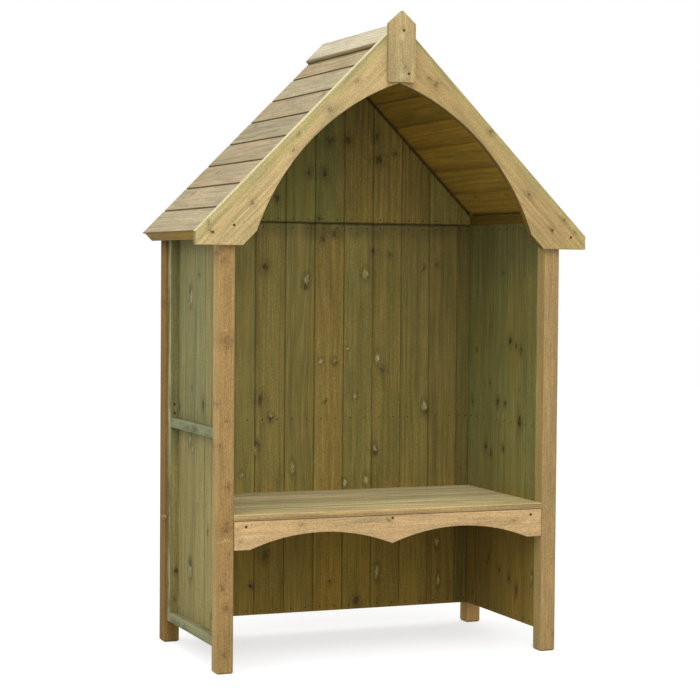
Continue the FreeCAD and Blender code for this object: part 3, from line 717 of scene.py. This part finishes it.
class ARBOUR_OT_side_frames(bpy.types.Operator):
    """Finish the battens of the side walls and of the hidden back frame"""
    bl_idname = "arbour.side_frames"
    bl_label = "Side and back frames"

    # Knots that stand out on the left rear stile.
    KNOTS = ((-516, 226, 10, 0.8), (-522, 139, 4))

    def execute(self, context):
        colours = settings().colours
        easing = settings().sizes.batten_easing
        outer = colours.side_frame
        upright = Timber("upright_batten_wood", EAST, NORTH, UP, board=(0.3, 0.2, LONG))
        level = Timber("level_batten_wood", UP, EAST, NORTH, board=(0.3, 0.3, LONG))
        wide = Timber("back_batten_wood", UP, NORTH, EAST, board=(0.3, 0.3, LONG))
        plate = Timber("wall_plate_wood", UP, EAST, NORTH, board=(LONG, 0.3, LONG))
        low_band = (ALONG, START, 0.64, 0.08, Shade.stile_low, 0.85)
        looks = {}
        for look, face, back, stain, places, bands in (
                (upright, outer, Shade.stile_side, Shade.stile_stain, self.KNOTS, (low_band,)),
                (level, Shade.rail, Shade.rail_side, Shade.rail_stain, (), ()),
                (wide, outer, outer, Shade.back_frame_stain, (), ())):
            looks[look] = look.finish(
                face, back, WEST, knots=0.25, places=places, streaks=0.8, rings=0.5, hue=0.6,
                mottle=stain, sap_share=0.15, bands=bands, inside_bands=True)
        brown = plate.finish(colours.plates, knots=0.25)
        dark = Timber("gable_batten_wood", UP, NORTH, EAST).finish(colours.gable_frame, knots=0.25)
        for node in matching("side_left_", "side_right_", "back_", "gable_"):
            if "board" in node:
                continue
            if node.startswith("gable_"):
                material = dark
            elif "stile" in node:
                material = looks[upright]
            elif node.startswith("side_"):
                material = looks[level]
            else:
                material = looks[wide]
            eased_copy(node, easing, material, "side_frame")
        eased_battens(brown, "side_frame", "left_wall_plate", "right_wall_plate")
        return {"FINISHED"}


class ARBOUR_OT_wall_boards(bpy.types.Operator):
    """Finish the boards of the side walls, the back and the gable"""
    bl_idname = "arbour.wall_boards"
    bl_label = "Wall boards"

    # Dirt and painted shade in the vees between the boards, and how strong they show.
    VEE_DIRT_AND_SHADE = (Shade.joint_dirt_and_shade, 0.25)

    # Knots and pale spots that stand out.
    RIGHT_KNOTS = (
        (33, 751, 11), (-22, 746, 9), (-124, 700, 13, 1.8), (116, 599, 9), (78, 580, 7), (-13, 602, 8),
        (-53, 949, 11), (-130, 921, 9), (-94, 935, 6), (1, 1166, 5), (82, 996, 4), (187, 910, 5),
        (89, 244, 6), (7, 213, 6), (-65, 195, 7), (-115, 167, 11))
    LEFT_KNOTS = (
        (114, 1104, 6), (20, 1150, 6), (-21, 762, 12, 2.0), (101, 268, 10), (100, 241, 6),
        (-72, 387, 6, 2.5))
    LEFT_PALE = (
        (100, 1085, 11, 2.2), (122, 1060, 8), (100, 246, 16, 1.5), (80, 620, 7), (107, 649, 11, 1.5),
        (28, 450, 6))
    BACK_KNOTS = (
        (-24, 1269, 8), (15, 1283, 6), (152, 1231, 7), (209, 1220, 6), (-219, 1179, 12), (-233, 758, 14),
        (378, 1187, 5), (-82, 1118, 8), (22, 872, 7), (185, 845, 9), (-198, 694, 8), (160, 578, 8),
        (345, 705, 8), (-215, 255, 12), (102, 96, 12), (-263, 161, 8), (11, 160, 7))
    BACK_PALE = (
        (-78, 1138, 8, 2.2), (124, 1157, 9, 1.8), (-27, 877, 7), (20, 879, 7), (167, 885, 7, 2.6),
        (67, 916, 5), (91, 760, 7), (-198, 706, 6), (162, 592, 7, 2.0), (-295, 517, 7),
        (-124, 537, 7, 2.8), (59, 482, 9), (134, 487, 9, 2.0), (337, 724, 9, 1.8), (173, 187, 8, 2.4),
        (393, 147, 6, 3.0), (388, 274, 6, 3.0))
    GABLE_KNOTS = (
        (-19, 1478, 13), (-4, 1576, 10), (62, 1585, 12), (169, 1526, 14), (-40, 1330, 7),
        (-182, 1395, 9), (160, 1600, 10, 2.0))

    def execute(self, context):
        colours = settings().colours
        cover = settings().sizes.board_cover
        side_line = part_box("side_left_board_2")[0].y
        for side, direction, places, pale_places, warmth in (
                ("left", WEST, self.LEFT_KNOTS, self.LEFT_PALE, 0.0),
                ("right", EAST, self.RIGHT_KNOTS, (), 0.5)):
            look = Timber(
                f"{side}_side_board_wood", NORTH, direction, UP, board=(cover, LONG, LONG),
                start=(side_line, LOW, LOW))
            material = look.finish(
                colours.side_outside, colours.side_inside, direction, knots=0.2, places=places,
                pale_places=pale_places, variety=0.10, hue=0.7, corners=self.VEE_DIRT_AND_SHADE, depth=1.0,
                inside_bands=True, outside_bands=((ALONG, START, 0.67, 0.05, Shade.outside_low, 0.85),),
                bands=(
                    # Painted shade under the wall plate.
                    (ALONG, 1.16, 1.4, 0.08, Shade.side_top_shade, 0.35),
                    (ALONG, 0.40, 0.85, 0.12, Shade.side_middle, warmth),
                    # Painted warm light below the seat.
                    (ALONG, START, 0.45, 0.05, Shade.side_under_seat_light, warmth)))
            finish_nodes(material, f"side_{side}_board")
        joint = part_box("gable_boards")[0].z - 0.001
        look = Timber(
            "back_board_wood", EAST, NORTH, UP, board=(cover, LONG, joint), start=(-cover / 2, LOW, 0))
        material = look.finish(
            colours.back_outside, colours.back_inside, NORTH, knots=0.12, places=self.BACK_KNOTS,
            pale_places=self.BACK_PALE, variety=0.1, hue=0.8, corners=self.VEE_DIRT_AND_SHADE, inside_bands=True,
            bands=(
                # Painted shade at the top of the back boards.
                (ALONG, 1.27, 1.4, 0.02, Shade.back_top_shade, 0.4),
                # Dirt and painted shade at the joint with the gable boards.
                (ALONG, joint - 0.005, END, 0.002, Shade.joint_dirt_and_shade, 0.7),
                (ACROSS, 0.10, END, 0.12, Shade.back_right, 0.34),
                (ACROSS, START, -0.1, 0.12, Shade.back_left, 0.34),
                # Painted warm light below the seat.
                (ALONG, START, 0.45, 0.05, Shade.back_under_seat_light, 0.55),
                # Painted shade in the corner with the right wall.
                (ACROSS, 0.452, END, 0.004, Shade.back_corner_shade, 0.55)))
        finish_nodes(material, "back_boards")
        look = Timber(
            "gable_board_wood", EAST, NORTH, UP, board=(cover, LONG, LONG), start=(-cover / 2, LOW, LOW),
            seed=3)
        # The gable boards' inside gets a darker copy of the back boards' colour: painted shade.
        material = look.finish(
            colours.back_outside, colours.gable_inside_shade, NORTH, knots=0.1, places=self.GABLE_KNOTS,
            variety=0.12, hue=0.7, corners=self.VEE_DIRT_AND_SHADE, inside_bands=True,
            bands=(
                (ACROSS, START, 0.03, 0.05, Shade.gable_left, 0.5),
                # Dirt and painted shade at the joint with the back boards.
                (ALONG, START, joint + 0.005, 0.002, Shade.joint_dirt_and_shade, 0.7)))
        finish_nodes(material, "gable_boards")
        return {"FINISHED"}


class ARBOUR_OT_roof(bpy.types.Operator):
    """Finish the roof boards, the ridge caps and what carries them"""
    bl_idname = "arbour.roof"
    bl_label = "Roof"

    # Down the slope from the ridge, in metres: the first joint between boards, the end of the painted shadow
    # that the caps cast on the boards, the caps' painted dark line from start to end, and the start of their
    # edge.
    FIRST_JOINT = 0.0445
    CAP_SHADOW_END = 0.0750
    LINE_START = 0.0690
    LINE_END = 0.0716
    CAP_EDGE = 0.0717

    def execute(self, context):
        colours = settings().colours
        sizes = settings().sizes
        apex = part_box("roof_left_boards")[1].z * HALF
        look = Timber(
            "roof_board_wood", DOWN, OUT, NORTH, board=(sizes.board_cover, LONG, LONG),
            start=(self.FIRST_JOINT - sizes.board_cover - apex, LOW, LOW), fold=True)
        boards = look.finish(
            colours.roof_top, colours.roof_under, OUT, knots=0.25, variety=0.08, hue=0.45,
            corners=(Shade.worn_and_highlit_edge, 0.0), depth=0.5, sap_share=0.0,
            # The joints between boards get dirt and painted shade.
            joints=(0.0022, 0.0072, Shade.roof_joint_dirt_and_shade, 0.85, apex - 0.005),
            # Painted shadow of the caps on the boards beside them.
            bands=((ACROSS, -apex, self.CAP_SHADOW_END - apex, 0.0010, Shade.ridge_shade, 0.8),),
            lower_ends=(0.035, 0.008, Shade.lap_shadow, 0.45))
        finish_nodes(boards, "roof_")
        look = Timber("ridge_cap_wood", DOWN, OUT, NORTH, fold=True)
        caps = look.finish(
            colours.ridge_caps, knots=0.2, streaks=1.1, rings=0.6, hue=0.15, depth=0.3,
            # The caps get a painted dark line of shade on their rounded edge, painted shade on their
            # down-slope edge face, and painted shade at its foot.
            bands=(
                (ACROSS, self.LINE_START - apex, self.LINE_END - apex, 0.0004, Shade.ridge_shade, 0.9),
                (ACROSS, self.CAP_EDGE - apex, END, 0.0002, Shade.cap_edge_shade, 0.9),
                (THROUGH, START, apex + 0.0045, 0.0008, Shade.ridge_shade, 0.8)))
        eased_battens(caps, "ridge_caps", "ridge_cap_")
        rail = Timber("eaves_rail_wood", DOWN, OUT, NORTH, fold=True).finish(colours.eaves_rails, knots=0.3)
        eased_battens(rail, "side_frame", "left_eaves_rail", "right_eaves_rail")
        rafter = Timber("rafter_wood", NORTH, OUT, DOWN, fold=True).finish(colours.roof_under, knots=0.3)
        eased_battens(rafter, "side_frame", "left_front_rafter", "right_front_rafter")
        return {"FINISHED"}


class ARBOUR_OT_bargeboards(bpy.types.Operator):
    """Finish the arched bargeboards and the finial"""
    bl_idname = "arbour.bargeboards"
    bl_label = "Bargeboards and finial"

    # Knots that stand out, in millimetres square to the slope and down it.
    LEFT_KNOTS = (
        (1335, 504, 5), (1316, 494, 7), (1284, 639, 8), (1310, 1000, 9), (1308, 1120, 6), (1326, 880, 4),
        (1304, 839, 6))
    RIGHT_KNOTS = (
        (1298, 1133, 9), (1296, 1159, 5), (1334, 912, 8), (1294, 687, 9), (1274, 559, 6), (1327, 550, 7),
        (1329, 497, 4))

    # Marks of the finial.
    FINIAL_KNOTS = ((6, 1762, 4),)
    FINIAL_PALE = ((0, 1744, 14), (-3, 1765, 7, 2.0), (0, 1856, 7, 3.0))

    def execute(self, context):
        colours = settings().colours
        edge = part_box("bargeboard_left")[1].z * HALF
        for side, sign, colour, knots, amount in (
                ("left", -1, colours.left_barge, self.LEFT_KNOTS, 0.5),
                ("right", 1, colours.right_barge, self.RIGHT_KNOTS, 0.35)):
            look = Timber(
                f"{side}_bargeboard_wood", (sign * HALF, 0, HALF), NORTH, (sign * -HALF, 0, HALF))
            # The edge faces get a darker copy of the wood, painted shade. The top edge is painted over with a
            # highlight.
            material = look.finish(
                colour, colours.barge_arch_shade, knots=0.0, places=knots, rings=0.6, hue=0.35, depth=0.45,
                corners=(Shade.worn_and_highlit_edge, 0.05),
                bands=(
                    (ACROSS, edge - 0.024, END, 0.008, Shade.barge_green, amount),
                    # A painted highlight on the top edge.
                    (ACROSS, edge - 0.0005, END, 0.0005, Shade.barge_top_highlight, 0.9)))
            finish_nodes(material, f"bargeboard_{side}")
        look = Timber("finial_wood", EAST, NORTH, UP)
        material = look.finish(
            colours.finial, knots=0.0, places=self.FINIAL_KNOTS, pale_places=self.FINIAL_PALE, rings=0.6,
            hue=0.35, depth=0.3, sap=Shade.finial_sap)
        eased_copy("finial", settings().sizes.board_easing, material, "finial")
        return {"FINISHED"}


class ARBOUR_OT_seat(bpy.types.Operator):
    """Finish the seat boards, what carries them and the apron"""
    bl_idname = "arbour.seat"
    bl_label = "Seat and apron"

    # Knots that stand out on the apron, in millimetres up it and along it.
    KNOTS = ((420, -488, 4), (425, -290, 6), (426, -9, 7), (385, -480, 4), (404, 280, 4), (412, 405, 5))

    def execute(self, context):
        colours = settings().colours
        sizes = settings().sizes
        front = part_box("seat_board_1")[0].y
        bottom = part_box("seat_board_1")[0].z
        look = Timber(
            "seat_wood", NORTH, UP, EAST, board=(sizes.seat_pitch, LONG, LONG),
            start=(front - 0.001, LOW, LOW))
        seat = look.finish(
            colours.seat, streaks=2.0, rings=1.4, variety=0.14, depth=0.4,
            bands=(
                # Painted light on the rear half of the seat.
                (ACROSS, 0.0, END, 0.15, Shade.seat_rear_light, 0.6),
                (ACROSS, START, front + 0.0012, 0.0008, colours.nosing, 0.95),
                # Painted shade at the seat boards' foot, where they meet the apron.
                (THROUGH, START, bottom + 0.0016, 0.0008, Shade.seat_joint_shade, 0.7)))
        finish_nodes(seat, "seat_board")
        bearer = Timber("bearer_wood", EAST, UP, NORTH, board=(0.3, LONG, LONG)).finish(colours.seat)
        eased_battens(bearer, "seat_boards", "seat_left", "seat_middle", "seat_right", "seat_back")
        look = Timber("apron_wood", UP, NORTH, EAST)
        apron = look.finish(
            colours.apron, knots=0.1, places=self.KNOTS, streaks=0.8, rings=0.45, hue=0.4, depth=0.3,
            # Painted shade at the apron's top, under the seat boards.
            bands=((ACROSS, bottom - 0.0014, END, 0.0006, Shade.seat_joint_shade, 0.8),))
        eased_copy("apron", sizes.board_easing, apron, "apron")
        return {"FINISHED"}


class ARBOUR_OT_fixings(bpy.types.Operator):
    """Finish the nails, and cut the recesses of the screws"""
    bl_idname = "arbour.fixings"
    bl_label = "Fixings"

    # Only a screw's head has so large a face that looks forward or back, in square metres.
    HEAD_AREA = 40e-6
    CUT_DISTANCE = 1e-7

    def execute(self, context):
        steel = metal("screw_steel", settings().colours.screws)
        finish_nodes(metal("nail_steel", settings().colours.nails), "wall_nails")
        shape = merged_copy("screws")
        heads = [face for face in shape.faces
                 if abs(face.normal.y) > 0.99 and face.calc_area() > self.HEAD_AREA]
        if not heads:
            raise RuntimeError("no screw head was found to cut a recess in")
        for face in heads:
            self.cut_recess(shape, face)
        add_piece("screw_set", new_mesh("screw_set", shape, smooth_angle=35), steel, "fixings", "screws")
        return {"FINISHED"}

    def cut_recess(self, shape, head):
        """Cuts a cross into a head: the face is divided along the slots' edges, and the cross sinks."""
        sizes = settings().sizes
        middle = head.calc_center_median()
        inward = -head.normal
        half_width = sizes.recess_width / 2
        half_length = sizes.recess_length / 2
        faces = [head]
        for axis in (Vector(EAST), Vector(UP)):
            for reach in (-half_length, -half_width, half_width, half_length):
                rims = dict.fromkeys(part for face in faces for part in (*face.edges, *face.verts))
                cut = bmesh.ops.bisect_plane(shape, geom=[*faces, *rims], dist=self.CUT_DISTANCE,
                                             plane_co=middle + axis * reach, plane_no=axis)
                faces = [item for item in cut["geom"] if isinstance(item, bmesh.types.BMFace)]
        cross = []
        for face in faces:
            away = face.calc_center_median() - middle
            x, z = abs(away.x), abs(away.z)
            if max(x, z) < half_length and min(x, z) < half_width:
                cross.append(face)
        sunk = bmesh.ops.extrude_face_region(shape, geom=cross)
        bmesh.ops.delete(shape, geom=cross, context="FACES_ONLY")
        moved = [item for item in sunk["geom"] if isinstance(item, bmesh.types.BMVert)]
        bmesh.ops.translate(shape, verts=moved, vec=inward * sizes.recess_depth)


class ARBOUR_OT_studio(bpy.types.Operator):
    """Set up the pale floor, the soft light and the camera"""
    bl_idname = "arbour.studio"
    bl_label = "Studio"

    # Each lamp's name, size in metres and place. All of them point at AIM.
    LAMPS = (
        ("high", 4.0, (-0.8, -4.6, 5.0)),
        ("front", 3.5, (-1.5, -6.5, 2.4)),
        ("left", 3.5, (-4.6, -2.6, 4.2)),
    )
    AIM = (0, 0, 0.9)

    WHITE = (1, 1, 1, 1)
    FLOOR_GREY = (0.6, 0.6, 0.6, 1)
    FLOOR_GLOW = 0.62
    FLOOR_CORNERS = 96
    SENSOR_WIDTH = 36
    CLIP_END = 100

    def execute(self, context):
        studio = settings().studio
        scene = context.scene
        self.add_floor(scene, studio)
        self.add_sky(scene, studio)
        self.add_lamps(scene, studio)
        camera = bpy.data.objects.new("camera", bpy.data.cameras.new("camera"))
        camera.data.lens = studio.lens
        camera.data.sensor_width = self.SENSOR_WIDTH
        camera.data.clip_end = self.CLIP_END
        pitch, roll, yaw = studio.camera_turn
        turn = Matrix.Rotation(yaw, 4, "Z") @ Matrix.Rotation(math.pi / 2 + pitch, 4, "X")
        camera.matrix_world = Matrix.Translation(studio.camera_place) @ turn @ Matrix.Rotation(roll, 4, "Z")
        scene.collection.objects.link(camera)
        scene.camera = camera
        scene.view_settings.view_transform = "Standard"
        return {"FINISHED"}

    def add_floor(self, scene, studio):
        shape = bmesh.new()
        bmesh.ops.create_circle(shape, cap_ends=True, segments=self.FLOOR_CORNERS,
                                radius=studio.floor_radius)
        mesh = bpy.data.meshes.new("floor")
        shape.to_mesh(mesh)
        shape.free()
        floor = bpy.data.objects.new("floor", mesh)
        scene.collection.objects.link(floor)
        look = Surface("pale_floor")
        look.set("Base Color", self.FLOOR_GREY)
        look.set("Roughness", 1.0)
        look.set("Specular IOR Level", 0.0)
        look.set("Emission Color", self.WHITE)
        seen = look.add("ShaderNodeLightPath").outputs["Is Camera Ray"]
        look.set("Emission Strength", look.times(seen, self.FLOOR_GLOW))
        floor.data.materials.append(look.material)

    def add_sky(self, scene, studio):
        """White where a ray sees it straight, in a reflection or through glass, and dimmer as a light."""
        world = bpy.data.worlds.new("soft_sky")
        scene.world = world
        world.use_nodes = True
        sky = NodeBoard(world.node_tree)
        background = sky.tree.nodes["Background"]
        sky.plug(self.WHITE, background.inputs["Color"])
        rays = sky.add("ShaderNodeLightPath").outputs
        seen = sky.maths("ADD", rays["Is Camera Ray"], rays["Is Glossy Ray"], clamp=True)
        seen = sky.maths("ADD", seen, rays["Is Transmission Ray"], clamp=True)
        sky.plug(sky.ramp(seen, 0.0, 1.0, studio.sky_strength, 1.0), background.inputs["Strength"])

    def add_lamps(self, scene, studio):
        for name, size, place in self.LAMPS:
            lamp = bpy.data.lights.new(name, "AREA")
            lamp.shape = "SQUARE"
            lamp.size = size
            lamp.energy = getattr(studio, f"{name}_lamp")
            holder = bpy.data.objects.new(name, lamp)
            holder.location = place
            aim = Vector(self.AIM) - holder.location
            holder.rotation_euler = aim.to_track_quat("-Z", "Y").to_euler()
            scene.collection.objects.link(holder)


STEPS = (
    ARBOUR_OT_posts,
    ARBOUR_OT_side_frames,
    ARBOUR_OT_wall_boards,
    ARBOUR_OT_roof,
    ARBOUR_OT_bargeboards,
    ARBOUR_OT_seat,
    ARBOUR_OT_fixings,
    ARBOUR_OT_studio,
)


class ARBOUR_PT_panel(bpy.types.Panel):
    """Lists the steps and the settings of the arbour seat"""
    bl_idname = "ARBOUR_PT_panel"
    bl_label = "Arbour seat"
    bl_space_type = "VIEW_3D"
    bl_region_type = "UI"
    bl_category = "Arbour"

    def draw(self, context):
        for step in STEPS:
            self.layout.operator(step.bl_idname)
        for group in (settings().sizes, settings().colours, settings().studio):
            box = self.layout.box()
            for key in group.__annotations__:
                box.prop(group, key)


CLASSES = (
    ARBOUR_PG_sizes,
    ARBOUR_PG_colours,
    ARBOUR_PG_studio,
    ARBOUR_PG_settings,
    *STEPS,
    ARBOUR_PT_panel,
)


def register():
    for item in CLASSES:
        bpy.utils.register_class(item)
    bpy.types.Scene.arbour_seat = PointerProperty(type=ARBOUR_PG_settings, name="Arbour seat")


def unregister():
    del bpy.types.Scene.arbour_seat
    for item in reversed(CLASSES):
        bpy.utils.unregister_class(item)


def main():
    register()
    for step in STEPS:
        group, name = step.bl_idname.split(".")
        getattr(getattr(bpy.ops, group), name)()


if __name__ == "__main__":
    main()
